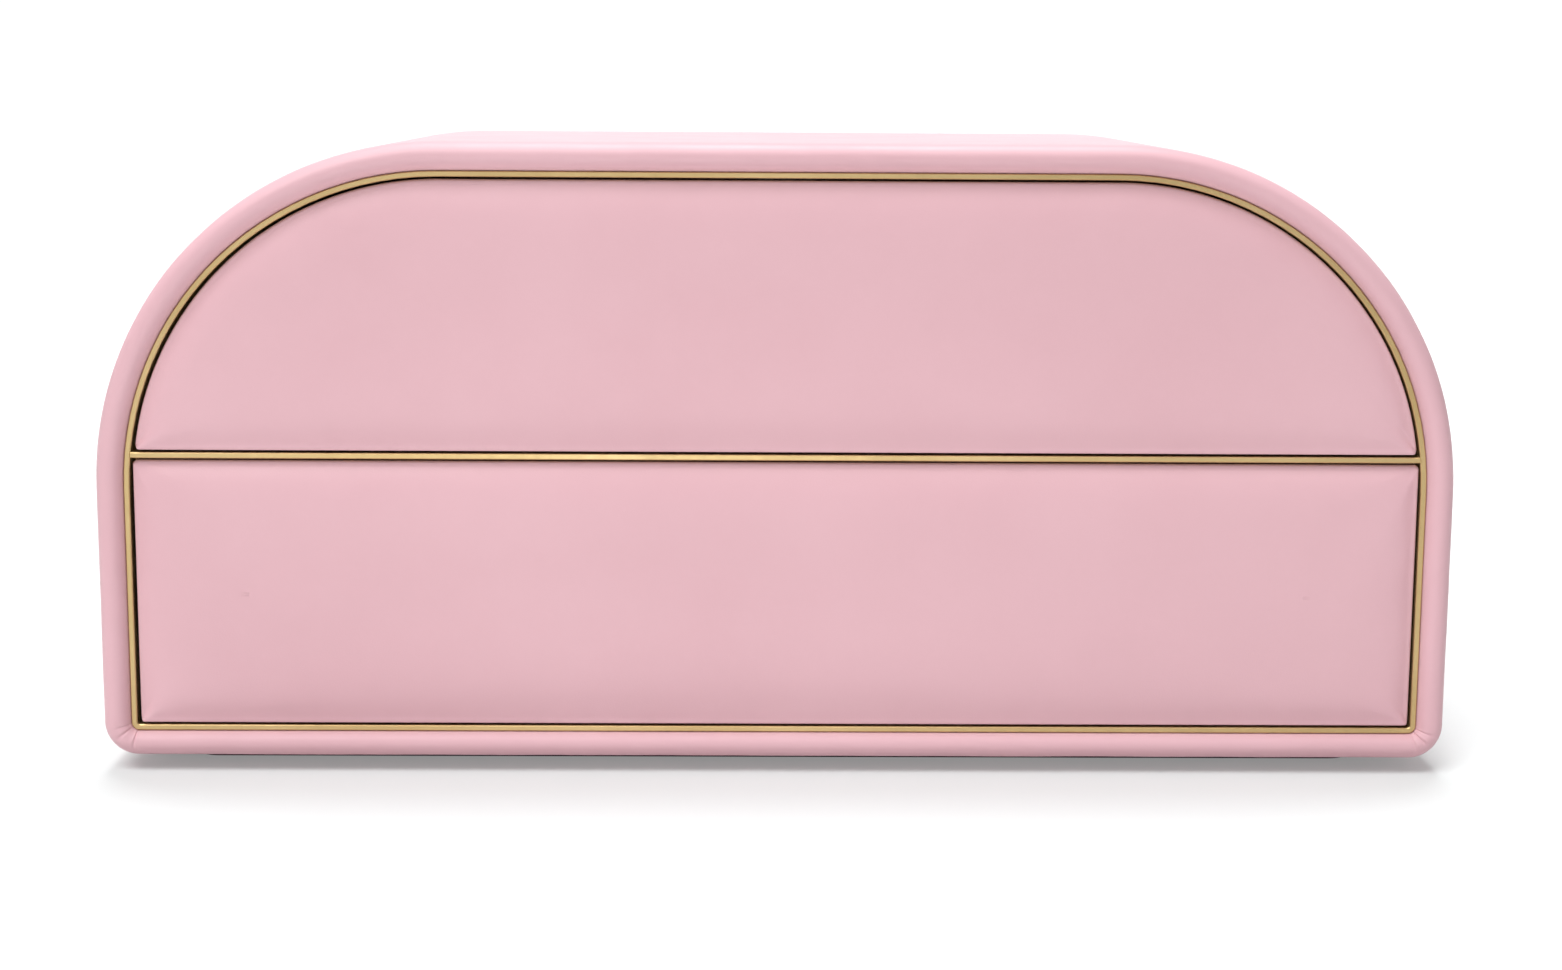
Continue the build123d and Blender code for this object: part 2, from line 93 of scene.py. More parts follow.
def smooth_by_angle(ob, degrees=35):
    """Smooth shading that keeps edges sharper than this."""
    me = ob.data
    bm = bmesh.new()
    bm.from_mesh(me)
    limit = math.radians(degrees)
    for e in bm.edges:
        e.smooth = not (len(e.link_faces) == 2 and e.calc_face_angle(0) > limit)
    for f in bm.faces:
        f.smooth = True
    bm.to_mesh(me)
    bm.free()


def tube(loops):
    """Faces that join a closed row of closed loops, given as [loop][point]."""
    n, m = len(loops), len(loops[0])
    verts = [p for loop in loops for p in loop]
    faces = [
        (i * m + j, i * m + (j + 1) % m, ((i + 1) % n) * m + (j + 1) % m, ((i + 1) % n) * m + j)
        for i in range(n)
        for j in range(m)
    ]
    return verts, faces


def span(a, b, n):
    """n points from a towards b, without b."""
    return [(a[0] + (b[0] - a[0]) * k / n, a[1] + (b[1] - a[1]) * k / n) for k in range(n)]


def arc(cx, cz, r, a0, a1, n):
    return [
        (cx + r * math.cos(math.radians(a0 + (a1 - a0) * k / n)), cz + r * math.sin(math.radians(a0 + (a1 - a0) * k / n)))
        for k in range(n)
    ]


def smoothstep(x, a, b):
    t = min(1.0, max(0.0, (x - a) / (b - a)))
    return t * t * (3 - 2 * t)


def wobble(x, y, z, size, seed=0.0):
    """Smooth noise of about -1 to 1 with features of this size."""
    return mnoise.noise(Vector((x / size + seed, y / size + 3.1 * seed, z / size - seed)))


NB, NC, NL, NA, NT = 56, 44, 22, 64, 56


def case_contour(inset, foot, low=None):
    """The case's front outline moved inwards, as one closed loop with a fixed number of points."""
    low = inset if low is None else low
    xh, zb, zt, r_big = A - inset, Z0 + low, Z0 + BODY_H - inset, R_ARCH - inset
    right = (
        span((0, zb), (xh - foot, zb), NB)
        + arc(xh - foot, zb + foot, foot, -90, 0, NC)
        + span((xh, zb + foot), (xh, zt - r_big), NL)
        + arc(xh - r_big, zt - r_big, r_big, 0, 90, NA)
        + span((xh - r_big, zt), (0, zt), NT)
    )
    left = [(-x, z) for x, z in reversed(right[1:])]
    return right + [(0.0, zt)] + left


def normals_of(loop):
    p = np.array(loop)
    t = np.roll(p, -1, 0) - np.roll(p, 1, 0)
    t /= np.linalg.norm(t, axis=1)[:, None] + 1e-12
    return np.stack([t[:, 1], -t[:, 0]], 1)  # outward for a loop that runs anticlockwise


# ------------------------------------------------------------------ materials
def new_material(name):
    m = bpy.data.materials.new(name)
    m.use_nodes = True
    nt = m.node_tree
    bsdf = nt.nodes["Principled BSDF"]
    coord = nt.nodes.new("ShaderNodeTexCoord")
    return m, nt, bsdf, coord.outputs["Object"]


def tex(nt, kind, vec, scale, **kw):
    n = nt.nodes.new("ShaderNodeTexNoise" if kind == "noise" else "ShaderNodeTexVoronoi" if kind == "voronoi" else "ShaderNodeTexWave")
    nt.links.new(vec, n.inputs["Vector"])
    n.inputs["Scale"].default_value = scale
    for k, v in kw.items():
        if k in n.inputs:
            n.inputs[k].default_value = v
        else:
            setattr(n, k, v)
    return n


def ramp(nt, fac, stops):
    n = nt.nodes.new("ShaderNodeValToRGB")
    nt.links.new(fac, n.inputs["Fac"])
    els = n.color_ramp.elements
    while len(els) < len(stops):
        els.new(0.5)
    for e, (p, c) in zip(els, stops):
        e.position = p
        e.color = (*c, 1.0) if not isinstance(c, float) else (c, c, c, 1.0)
    return n.outputs["Color"]


def math_node(nt, op, a, b):
    n = nt.nodes.new("ShaderNodeMath")
    n.operation = op
    for i, v in enumerate((a, b)):
        if isinstance(v, float):
            n.inputs[i].default_value = v
        else:
            nt.links.new(v, n.inputs[i])
    return n.outputs[0]


def mapping(nt, vec, scale):
    n = nt.nodes.new("ShaderNodeMapping")
    nt.links.new(vec, n.inputs["Vector"])
    n.inputs["Scale"].default_value = scale
    return n.outputs["Vector"]


def bump(nt, bsdf, height, strength, distance_mm, under=None):
    n = nt.nodes.new("ShaderNodeBump")
    n.inputs["Strength"].default_value = strength
    n.inputs["Distance"].default_value = distance_mm / 1000
    nt.links.new(height, n.inputs["Height"])
    if under is not None:
        nt.links.new(under, n.inputs["Normal"])
    nt.links.new(n.outputs["Normal"], bsdf.inputs["Normal"])
    return n.outputs["Normal"]


def rgb(r, g, b):
    """sRGB 0-255 to linear."""
    return tuple(((c / 255) / 12.92 if c / 255 <= 0.04045 else ((c / 255 + 0.055) / 1.055) ** 2.4) for c in (r, g, b))


def leather_material(name, base, deep, seed=0.0, grain=1.0):
    m, nt, b, vec = new_material(name)
    large = tex(nt, "noise", vec, 9.0, Detail=3.0, Roughness=0.55)
    nt.links.new(ramp(nt, large.outputs["Fac"], [(0.32, deep), (0.62, base)]), b.inputs["Base Color"])
    # pebbled grain: small cells with creases between them, and fine pores
    warp = tex(nt, "noise", vec, 420.0, Detail=2.0)
    mix = nt.nodes.new("ShaderNodeMix")
    mix.data_type = "VECTOR"
    mix.inputs["Factor"].default_value = 0.0012
    nt.links.new(vec, mix.inputs["A"])
    nt.links.new(warp.outputs["Color"], mix.inputs["B"])
    cells = tex(nt, "voronoi", mix.outputs["Result"], 1250.0, feature="DISTANCE_TO_EDGE")
    crease = ramp(nt, cells.outputs["Distance"], [(0.0, 0.0), (0.16, 0.8), (0.5, 1.0)])
    pores = tex(nt, "noise", vec, 3800.0, Detail=2.0)
    h = math_node(nt, "ADD", crease, math_node(nt, "MULTIPLY", pores.outputs["Fac"], 0.35))
    soft = tex(nt, "noise", vec, 95.0, Detail=2.0)
    under = bump(nt, b, soft.outputs["Fac"], 0.10, 0.25)
    bump(nt, b, h, 0.30 * grain, 0.035, under)
    rough = tex(nt, "noise", vec, 60.0, Detail=4.0)
    nt.links.new(ramp(nt, rough.outputs["Fac"], [(0.3, 0.46), (0.7, 0.56)]), b.inputs["Roughness"])
    b.inputs["Specular IOR Level"].default_value = 0.42
    b.inputs["Sheen Weight"].default_value = 0.10
    b.inputs["Sheen Roughness"].default_value = 0.4
    b.inputs["Sheen Tint"].default_value = (1.0, 0.9, 0.92, 1.0)
    return m


def brass_material(name):
    m, nt, b, vec = new_material(name)
    b.inputs["Metallic"].default_value = 1.0
    tone = tex(nt, "noise", vec, 22.0, Detail=3.0)
    nt.links.new(ramp(nt, tone.outputs["Fac"], [(0.3, (0.57, 0.42, 0.195)), (0.7, (0.66, 0.50, 0.25))]), b.inputs["Base Color"])
    fine = tex(nt, "noise", mapping(nt, vec, (1.0, 14.0, 1.0)), 260.0, Detail=4.0, Roughness=0.7)
    nt.links.new(ramp(nt, fine.outputs["Fac"], [(0.25, 0.40), (0.75, 0.52)]), b.inputs["Roughness"])
    bump(nt, b, fine.outputs["Fac"], 0.18, 0.02)
    return m


def steel_material(name, tint, lo, hi, scale=300.0):
    m, nt, b, vec = new_material(name)
    b.inputs["Metallic"].default_value = 1.0
    tone = tex(nt, "noise", vec, 40.0, Detail=3.0)
    nt.links.new(ramp(nt, tone.outputs["Fac"], [(0.3, tuple(c * 0.86 for c in tint)), (0.7, tint)]), b.inputs["Base Color"])
    fine = tex(nt, "noise", mapping(nt, vec, (1.0, 0.06, 1.0)), scale, Detail=4.0)
    nt.links.new(ramp(nt, fine.outputs["Fac"], [(0.3, lo), (0.7, hi)]), b.inputs["Roughness"])
    bump(nt, b, fine.outputs["Fac"], 0.15, 0.02)
    return m


def wood_material(name, light, dark, along=(0.10, 1.0, 1.0), rough=0.5):
    m, nt, b, vec = new_material(name)
    v = mapping(nt, vec, along)
    flow = tex(nt, "noise", v, 26.0, Detail=5.0, Roughness=0.62, Distortion=1.1)
    wave = tex(nt, "wave", v, 55.0, Distortion=6.0, Detail=3.0, bands_direction="DIAGONAL")
    pores = tex(nt, "noise", mapping(nt, vec, tuple(c * c for c in along)), 900.0, Detail=3.0)
    f = math_node(nt, "ADD", math_node(nt, "MULTIPLY", flow.outputs["Fac"], 0.7), math_node(nt, "MULTIPLY", wave.outputs["Fac"], 0.25))
    f2 = math_node(nt, "ADD", f, math_node(nt, "MULTIPLY", pores.outputs["Fac"], 0.12))
    nt.links.new(ramp(nt, f2, [(0.35, dark), (0.72, light)]), b.inputs["Base Color"])
    nt.links.new(ramp(nt, f2, [(0.3, rough + 0.1), (0.8, rough - 0.05)]), b.inputs["Roughness"])
    bump(nt, b, f2, 0.15, 0.08)
    return m


def suede_material(name, light, dark):
    m, nt, b, vec = new_material(name)
    nap = tex(nt, "noise", vec, 34.0, Detail=5.0, Roughness=0.6, Distortion=0.4)
    fibre = tex(nt, "noise", vec, 2600.0, Detail=3.0, Roughness=0.7)
    f = math_node(nt, "ADD", math_node(nt, "MULTIPLY", nap.outputs["Fac"], 0.7), math_node(nt, "MULTIPLY", fibre.outputs["Fac"], 0.3))
    nt.links.new(ramp(nt, f, [(0.36, dark), (0.64, light)]), b.inputs["Base Color"])
    b.inputs["Roughness"].default_value = 0.93
    b.inputs["Sheen Weight"].default_value = 0.55
    b.inputs["Sheen Roughness"].default_value = 0.45
    b.inputs["Specular IOR Level"].default_value = 0.2
    bump(nt, b, fibre.outputs["Fac"], 0.5, 0.06)
    return m


def plain_material(name, light, dark, rough_lo, rough_hi, grain=700.0, depth_mm=0.03, strength=0.2):
    m, nt, b, vec = new_material(name)
    tone = tex(nt, "noise", vec, 30.0, Detail=4.0)
    nt.links.new(ramp(nt, tone.outputs["Fac"], [(0.3, dark), (0.7, light)]), b.inputs["Base Color"])
    fine = tex(nt, "noise", vec, grain, Detail=3.0)
    nt.links.new(ramp(nt, fine.outputs["Fac"], [(0.3, rough_lo), (0.7, rough_hi)]), b.inputs["Roughness"])
    bump(nt, b, fine.outputs["Fac"], strength, depth_mm)
    return m


PINK, PINK_DEEP = rgb(220, 177, 185), rgb(216, 172, 180)
MAT = {
    "pink_leather": leather_material("pink_leather", PINK, PINK_DEEP),
    # dark brown leather for the sides of the drawer fronts: painted shade for the gaps round them
    "gap_shade_leather": leather_material("gap_shade_leather", rgb(104, 66, 62), rgb(90, 55, 52)),
    "foam": plain_material("foam", rgb(236, 230, 214), rgb(226, 218, 198), 0.9, 1.0, 1200.0, 0.2, 0.5),
    "case_wood": wood_material("case_wood", rgb(205, 172, 130), rgb(178, 140, 98)),
    "drawer_wood": wood_material("drawer_wood", rgb(214, 180, 138), rgb(188, 148, 104)),
    "brass_trim": brass_material("brass_trim"),
    "suede_lining": suede_material("suede_lining", rgb(222, 197, 193), rgb(208, 178, 174)),
    "suede_cushion": suede_material("suede_cushion", rgb(229, 207, 203), rgb(216, 190, 186)),
    "slide_steel": steel_material("slide_steel", (0.60, 0.62, 0.64), 0.28, 0.42),
    "screw_steel": steel_material("screw_steel", (0.56, 0.56, 0.57), 0.25, 0.4, 800.0),
    "strike_steel": steel_material("strike_steel", (0.66, 0.66, 0.66), 0.2, 0.34, 500.0),
    "latch_plastic": plain_material("latch_plastic", rgb(235, 233, 226), rgb(228, 225, 216), 0.42, 0.55),
    "plunger_plastic": plain_material("plunger_plastic", rgb(66, 66, 68), rgb(54, 54, 56), 0.4, 0.55),
    "plinth_lacquer": wood_material("plinth_lacquer", rgb(70, 28, 38), rgb(48, 17, 25), rough=0.6),
    "base_felt": suede_material("base_felt", rgb(70, 48, 52), rgb(52, 34, 38)),
}
for name, ob in NODES.items():
    ob.data.materials.clear()
    ob.data.materials.append(MAT[SLOT_OF[name]])
# the grain runs along each board
MAT["drawer_wood_deep"] = wood_material("drawer_wood_deep", rgb(214, 180, 138), rgb(188, 148, 104), along=(1.0, 0.10, 1.0))
for level in ("upper", "lower"):
    for side in ("left", "right"):
        NODES[f"{level}_box_{side}"].data.materials[0] = MAT["drawer_wood_deep"]


# ------------------------------------------------------------------ padded bead round the front
# (inset, y): tucked behind the wrap, round the dome, and down beside the brass
BEAD_PROFILE = (
    [(1.5, -73.05), (0.7, -73.1), (0.2, -73.5), (0.02, -74.3), (0.0, -75.4)]
    + [(4.8 - 4.8 * math.cos(math.radians(a)), -76.5 - 6.0 * math.sin(math.radians(a))) for a in range(8, 173, 8)]
    + [(9.36, -76.4), (9.36, -74.6), (9.3, -73.1), (5.4, -73.05)]
)


def pleat(angle, strength_side):
    """Creases gathered at a lower corner of the bead. angle runs 0 to 90 from the bottom to the side."""
    folds = ((17, 3.4, 0.26), (43, 3.8, 0.44), (69, 3.4, 0.3)) if strength_side > 0 else ((10, 3.2, 0.4), (52, 4.2, 0.34), (76, 3.0, 0.16))
    h = 0.0
    for at, width, deep in folds:
        h -= deep * math.exp(-(((angle - at) / width) ** 2))
        h += 0.3 * deep * math.exp(-(((angle - at - 2.1 * width) / (1.3 * width)) ** 2))
    return h


def make_bead():
    outer = case_contour(0.0, R_FOOT)
    inner = case_contour(BEAD, FOOT_TRIM, BEAD - SILL)
    n_out = normals_of(outer)
    first, last = NB, NB + NC
    count = len(outer)
    loops = []
    for k in range(count):
        (xo, zo), (xi, zi) = outer[k], inner[k]
        kk = k if k <= count // 2 else count - k
        corner = (kk - first) / NC * 90 if first <= kk <= last else None
        side = 1 if k <= count // 2 else -1
        loop = []
        for j, (s, y) in enumerate(BEAD_PROFILE):
            t = s / BEAD
            x, z = xo + (xi - xo) * t, zo + (zi - zo) * t
            on_dome = smoothstep(-y, 74.0, 77.5)
            if y < -74.5:
                d = 0.10 * wobble(x, y, z, 26.0, 1.7) + 0.05 * wobble(x, y, z, 9.0, 4.2)
                if corner is not None:
                    # pleats run from the brass outwards and fade before the outer edge
                    fade = smoothstep(t, 0.12, 0.62) * (0.35 + 0.65 * on_dome)
                    bend = corner + 5.0 * (t - 0.5) * side
                    d += pleat(bend, side) * fade
                # dome normal in the (outline normal, y) plane
                a = math.atan2(-(y + 76.5) / 6.0, -(s - 4.8) / 4.8)
                nx = math.cos(a) * n_out[k][0]
                nz = math.cos(a) * n_out[k][1]
                ny = -math.sin(a)
                keep = on_dome * (1.0 - 0.7 * smoothstep(t, 0.86, 0.97))
                x += nx * d * keep
                y += ny * d * keep
                z += nz * d * keep
            loop.append((x, y, z))
        loops.append(loop)
    verts, faces = tube(loops)
    return mesh_object("bead_leather", verts, faces, MAT["pink_leather"])


bead = place(make_bead(), "case", ("front_bead_leather", "front_bead_foam"))


# ------------------------------------------------------------------ leather wrap over the shell
def make_wrap():
    prof = [(2.4, -72.6), (1.6, -72.75), (0.8, -72.8), (0.25, -72.5), (0.03, -71.7)]
    prof += [(0.0, -70.6 + (150.0) * k / 26) for k in range(27)]
    prof += [(2.3 - 2.3 * math.cos(math.radians(a)), 80.0 + 2.3 * math.sin(math.radians(a))) for a in (10, 25, 40, 55, 70, 85)]
    prof += [(2.75, 82.3), (3.05, 82.0), (3.1, 81.2), (2.4, 80.6), (2.4, 4.0)]
    loops = []
    for k in range(len(case_contour(0.0, R_FOOT))):
        loops.append([])
    cache = {}
    for s, y in prof:
        key = round(s, 4)
        if key not in cache:
            cache[key] = case_contour(s, max(R_FOOT - s, 1.0))
        for k, (x, z) in enumerate(cache[key]):
            loops[k].append((x, y, z))
    verts, faces = tube(loops)
    return mesh_object("wrap_leather", verts, faces, MAT["pink_leather"])


wrap = place(make_wrap(), "case", ("outer_leather",))


# ------------------------------------------------------------------ back panel with a topstitched border
def inset_rings(rings, contour, cap_first=None, cap_last=None):
    """Loops at (inset, y); closes the first and the last with a face."""
    verts, faces, m = [], [], None
    for i, y in rings:
        loop = contour(i)
        m = len(loop)
        verts += [(x, y, z) for x, z in loop]
    for r in range(len(rings) - 1):
        for j in range(m):
            a, b = r * m + j, r * m + (j + 1) % m
            faces.append((a, b, b + m, a + m))
    faces.append(tuple(range(m))[::-1])
    faces.append(tuple(range((len(rings) - 1) * m, len(rings) * m)))
    return verts, faces, m


def make_back():
    c0 = 3.15
    rings = [(0.0, 80.6), (0.0, 81.5), (0.12, 82.0), (0.5, 82.35), (1.2, 82.5), (3.5, 82.6), (5.0, 82.5), (5.7, 82.28), (6.3, 82.2), (6.9, 82.28), (7.6, 82.55), (9.5, 82.8), (13.0, 82.95), (20.0, 83.05), (32.0, 83.1), (50.0, 83.1), (70.0, 83.1)]
    verts, faces, m = inset_rings(rings, lambda i: case_contour(c0 + i, max(R_FOOT - c0 - 0.5 * i, 1.2 + 0.1 * i)))
    return mesh_object("back_panel", verts, faces, MAT["pink_leather"])


back = place(make_back(), "case", ("back_leather",))


def capsule(p, q, r, sides=8):
    """A short thread stitch from p to q that dips at both ends."""
    p, q = Vector(p), Vector(q)
    d = (q - p).normalized()
    u = d.cross(Vector((0, 1, 0))).normalized()
    w = d.cross(u)
    verts, faces = [], []
    for t, rr, dip in ((0.0, 0.35, -0.35), (0.12, 0.85, -0.12), (0.35, 1.0, 0.0), (0.65, 1.0, 0.0), (0.88, 0.85, -0.12), (1.0, 0.35, -0.35)):
        c = p + (q - p) * t + Vector((0, dip, 0)) * r * 2
        verts += [tuple(c + (u * math.cos(2 * math.pi * k / sides) + w * math.sin(2 * math.pi * k / sides)) * r * rr) for k in range(sides)]
    for s in range(5):
        for k in range(sides):
            a, b = s * sides + k, s * sides + (k + 1) % sides
            faces.append((a, b, b + sides, a + sides))
    faces.append(tuple(range(sides))[::-1])
    faces.append(tuple(range(5 * sides, 6 * sides)))
    return verts, faces


def stitches(name, loop, y, pitch, length, r, material):
    pts = [Vector((x, y, z)) for x, z in loop]
    pts.append(pts[0])
    d = [0.0]
    for a, b in zip(pts, pts[1:]):
        d.append(d[-1] + (b - a).length)
    total = d[-1]
    n = int(total / pitch)
    step = total / n
    d = np.array(d)
    xs, zs = np.array([p.x for p in pts]), np.array([p.z for p in pts])

    def at(s):
        return (float(np.interp(s % total, d, xs)), y, float(np.interp(s % total, d, zs)))

    verts, faces = [], []
    for k in range(n):
        v, f = capsule(at(k * step), at(k * step + length), r)
        base = len(verts)
        verts += v
        faces += [tuple(i + base for i in g) for g in f]
    return mesh_object(name, verts, faces, material)


MAT["thread"] = plain_material("thread", rgb(226, 176, 186), rgb(214, 160, 171), 0.5, 0.65, 2500.0, 0.05, 0.5)
back_thread = place(
    stitches("back_stitches", case_contour(3.15 + 6.3, max(R_FOOT - 3.15 - 3.15, 1.8)), 82.42, 3.4, 2.5, 0.28, MAT["thread"]),
    "case",
)


# ------------------------------------------------------------------ padded drawer fronts
PAD_SHIFT = 0.2  # the fronts sit slightly to the right in their openings
PN = {"bottom": 70, "corner": 14, "side": 34, "arc": 78, "top": 46}


def pad_contour(level, i):
    """Outline of a drawer front moved inwards by i, always with the same number of points."""
    if level == "upper":
        cx, cz, r_big = A - PAD_IN - (R_ARCH - PAD_IN), Z0 + BODY_H - R_ARCH + 0.0, R_ARCH - PAD_IN - i
        zb, zt = UP_PAD_LOW + i, cz + r_big
        r = min(max(1.6 - i, 0.9) + 1.25 * i, 0.45 * (zt - zb))
        xc = cx + math.sqrt(max((r_big - r) ** 2 - (zb + r - cz) ** 2, 0.0))
        a1 = math.degrees(math.atan2(zb + r - cz, xc - cx))
        right = (
            span((0, zb), (xc, zb), PN["bottom"])
            + arc(xc, zb + r, r, -90, a1, PN["corner"])
            + arc(cx, cz, r_big, a1, 90, PN["side"] + PN["arc"])
            + span((cx, zt), (0, zt), PN["top"])
        )
    else:
        xh, zb, zt = A - PAD_IN - i, Z0 + PAD_IN - SILL + i, LO_PAD_HIGH - i
        r = min(max(1.6 - i, 0.9) + 1.25 * i, 0.45 * (zt - zb))
        right = (
            span((0, zb), (xh - r, zb), PN["bottom"])
            + arc(xh - r, zb + r, r, -90, 0, PN["corner"])
            + span((xh, zb + r), (xh, zt - r), PN["side"])
            + arc(xh - r, zt - r, r, 0, 90, PN["corner"])
            + span((xh - r, zt), (0, zt), PN["bottom"])
        )
    left = [(-x, z) for x, z in reversed(right[1:])]
    return [(x + PAD_SHIFT, z) for x, z in right + [(0.0, zt)] + left]


# (inset, y) from the skirt's back edge, over the folded edge, to the flat middle of the crown
PAD_SKIRT = [(0.95, -70.3), (0.25, -70.35), (0.02, -70.8), (0.0, -72.0), (0.0, -74.0), (0.0, -77.0), (0.04, -77.6), (0.16, -78.0), (0.38, -78.27), (0.7, -78.42)]
PAD_CROWN = [(1.1, -78.46), (1.6, -78.56), (2.3, -78.82), (3.2, -79.22), (4.3, -79.68), (5.6, -80.15), (7.1, -80.6), (8.8, -81.0), (10.8, -81.35), (13.0, -81.63), (15.5, -81.86), (18.5, -82.03), (22.0, -82.12), (26.0, -82.18), (30.0, -82.2), (34.0, -82.2), (38.0, -82.2)]


def puffed(verts_mm, faces, voxel, pressure, cap, pinned, frames=20):
    """Cloth under pressure on a remeshed copy. Returns rest and final points, in mm, and the triangles."""
    ob = mesh_object("proxy", verts_mm, faces, None)
    bpy.context.view_layer.objects.active = ob
    mod = ob.modifiers.new("r", "REMESH")
    mod.mode = "VOXEL"
    mod.voxel_size = voxel / 1000
    dg = bpy.context.evaluated_depsgraph_get()
    me = bpy.data.meshes.new_from_object(ob.evaluated_get(dg))
    ob.modifiers.clear()
    ob.data = me
    rest = np.array([v.co[:] for v in me.vertices]) * 1000
    g = ob.vertex_groups.new(name="pin")
    for i, p in enumerate(rest):
        w = pinned(p)
        if w > 0:
            g.add([i], w, "REPLACE")
    cloth = ob.modifiers.new("c", "CLOTH")
    s = cloth.settings
    s.quality = 5
    s.mass = 0.3
    s.tension_stiffness = 12
    s.compression_stiffness = 12
    s.shear_stiffness = 6
    s.bending_stiffness = 0.4
    s.use_pressure = True
    s.uniform_pressure_force = pressure
    s.effector_weights.gravity = 0
    s.vertex_group_mass = "pin"
    cloth.collision_settings.use_collision = False
    sc = bpy.context.scene
    for f in range(1, frames + 1):
        sc.frame_set(f)
    dg = bpy.context.evaluated_depsgraph_get()
    ev = ob.evaluated_get(dg).to_mesh()
    out = np.array([v.co[:] for v in ev.vertices]) * 1000
    polys = [tuple(p.vertices) for p in ev.polygons]
    sc.frame_set(1)
    move = out - rest
    far = np.linalg.norm(move, axis=1)
    scale = np.minimum(1.0, cap / np.maximum(far, 1e-9))
    out = rest + move * scale[:, None]
    bpy.data.objects.remove(ob)
    return rest, out, polys


def pad_variation(level):
    """How far the simulated leather stands out from its own mean at each distance from the edge."""
    rings = [(0.4, -71.5), (0.4, -77.0), (1.4, -78.2), (4.0, -79.3), (9.0, -80.0), (20.0, -80.2), (38.0, -80.2)]
    verts, faces, _ = inset_rings(rings, lambda i: pad_contour(level, i))
    rest, out, polys = puffed(verts, faces, 4.0, 4.0, 5.0, lambda p: 1.0 if p[1] > -76.0 else 0.0)
    return BVHTree.FromPolygons([tuple(p) for p in out], polys)


def make_pad(level):
    rings = PAD_SKIRT + PAD_CROWN
    loops = [pad_contour(level, i) for i, _ in rings]
    m = len(loops[0])
    offset = np.zeros((len(rings), m))
    tree = pad_variation(level)
    for r, (i, y) in enumerate(rings):
        if i < 1.5:
            continue
        row = []
        for x, z in loops[r]:
            hit = tree.ray_cast(Vector((x, -200.0, z)), Vector((0, 1, 0)))[0]
            row.append(hit.y if hit is not None else np.nan)
        row = np.array(row)
        row = np.where(np.isnan(row), np.nanmean(row), row)
        dev = row - row.mean()
        for _ in range(12):
            dev = (np.roll(dev, 1) + dev + np.roll(dev, -1)) / 3
        offset[r] = 0.3 * np.clip(dev, -0.8, 0.8) * smoothstep(i, 2.0, 8.0) * (1 - 0.8 * smoothstep(i, 26.0, 38.0))
    for _ in range(2):
        mid = offset.copy()
        mid[1:-1] = (offset[:-2] + 2 * offset[1:-1] + offset[2:]) / 4
        offset = mid
    verts = []
    facing = [n[1] for n in normals_of(loops[0])]
    for r, (i, y) in enumerate(rings):
        for j, (x, z) in enumerate(loops[r]):
            # the leather is pulled tighter over the lower edge than over the upper one
            fall = 1 - 0.42 * smoothstep(-facing[j], 0.25, 0.95) + 0.12 * smoothstep(facing[j], 0.25, 0.95)
            y = rings[r][1] - (1 - fall) * (rings[r][1] + 82.2) * smoothstep(-rings[r][1], 76.8, 78.2)
            soft = smoothstep(i, 2.0, 9.0)
            d = offset[r][j] + soft * (0.10 * wobble(x, 0, z, 38.0, 2.2) + 0.05 * wobble(x, 0, z, 14.0, 7.0))
            edge = smoothstep(i, 0.3, 1.5) * (1 - smoothstep(i, 6.0, 14.0))
            d += edge * 0.06 * wobble(x, 0, z, 7.0, 9.0)
            verts.append((x, y + d, z))
    faces = []
    for r in range(len(rings) - 1):
        for j in range(m):
            a, b = r * m + j, r * m + (j + 1) % m
            faces.append((a, b, b + m, a + m))
    # middle strip: joins the two long sides of the last loop
    base = (len(rings) - 1) * m
    half = m // 2
    q = half // 2
    for j in range(q):
        faces.append((base + j, base + j + 1, base + half - j - 1, base + half - j))
        faces.append((base + (m - j) % m, base + half + j, base + half + j + 1, base + m - j - 1))
    if half % 2:
        faces.append((base + q, base + q + 1, base + half - q))
        faces.append((base + m - q, base + half + q, base + half + q + 1))
    # inner face against the board
    start = len(verts)
    for i, y in ((0.95, -76.55), (12.0, -76.55)):
        verts += [(x, y, z) for x, z in pad_contour(level, i)]
    for j in range(m):
        faces.append((j, (j + 1) % m, start + (j + 1) % m, start + j))
        a, b = start + j, start + (j + 1) % m
        faces.append((a, b, b + m, a + m))
    faces.append(tuple(range(start + m, start + 2 * m)))
    ob = mesh_object(f"{level}_front_leather", verts, faces, MAT["pink_leather"])
    # the sides of the fronts get a dark brown leather: painted shade, darkening the gaps round the fronts where shade
    # falls
    ob.data.materials.append(MAT["gap_shade_leather"])
    for face in ob.data.polygons:
        if abs(face.normal.y) < 0.5 and face.center.y > -0.0773:
            face.material_index = 1
    return ob


for level in ("upper", "lower"):
    pad = make_pad(level)
    place(pad, f"{level}_drawer", (f"{level}_front_pad",))


# ------------------------------------------------------------------ inside: dividers, ring rolls, pillows
def soften(node, new_name, body, slot, radius=0.7):
    """A copy of a plain board node with its edges rounded over, as suede is when it is glued round a board."""
    me = NODES[node].data.copy()
    bm = bmesh.new()
    bm.from_mesh(me)
    bmesh.ops.remove_doubles(bm, verts=bm.verts, dist=1e-6)
    bmesh.ops.dissolve_limit(bm, angle_limit=math.radians(1), verts=bm.verts, edges=bm.edges)
    bmesh.ops.bevel(bm, geom=[e for e in bm.edges if e.calc_face_angle(0) > 0.5], offset=radius / 1000, segments=3, profile=0.5, affect="EDGES")
    bmesh.ops.recalc_face_normals(bm, faces=bm.faces)
    bm.to_mesh(me)
    bm.free()
    me.polygons.foreach_set("use_smooth", [True] * len(me.polygons))
    ob = bpy.data.objects.new(new_name, me)
    bpy.context.scene.collection.objects.link(ob)
    me.materials.clear()
    me.materials.append(MAT[slot])
    smooth_by_angle(ob, 30)
    return place(ob, body, (node,))


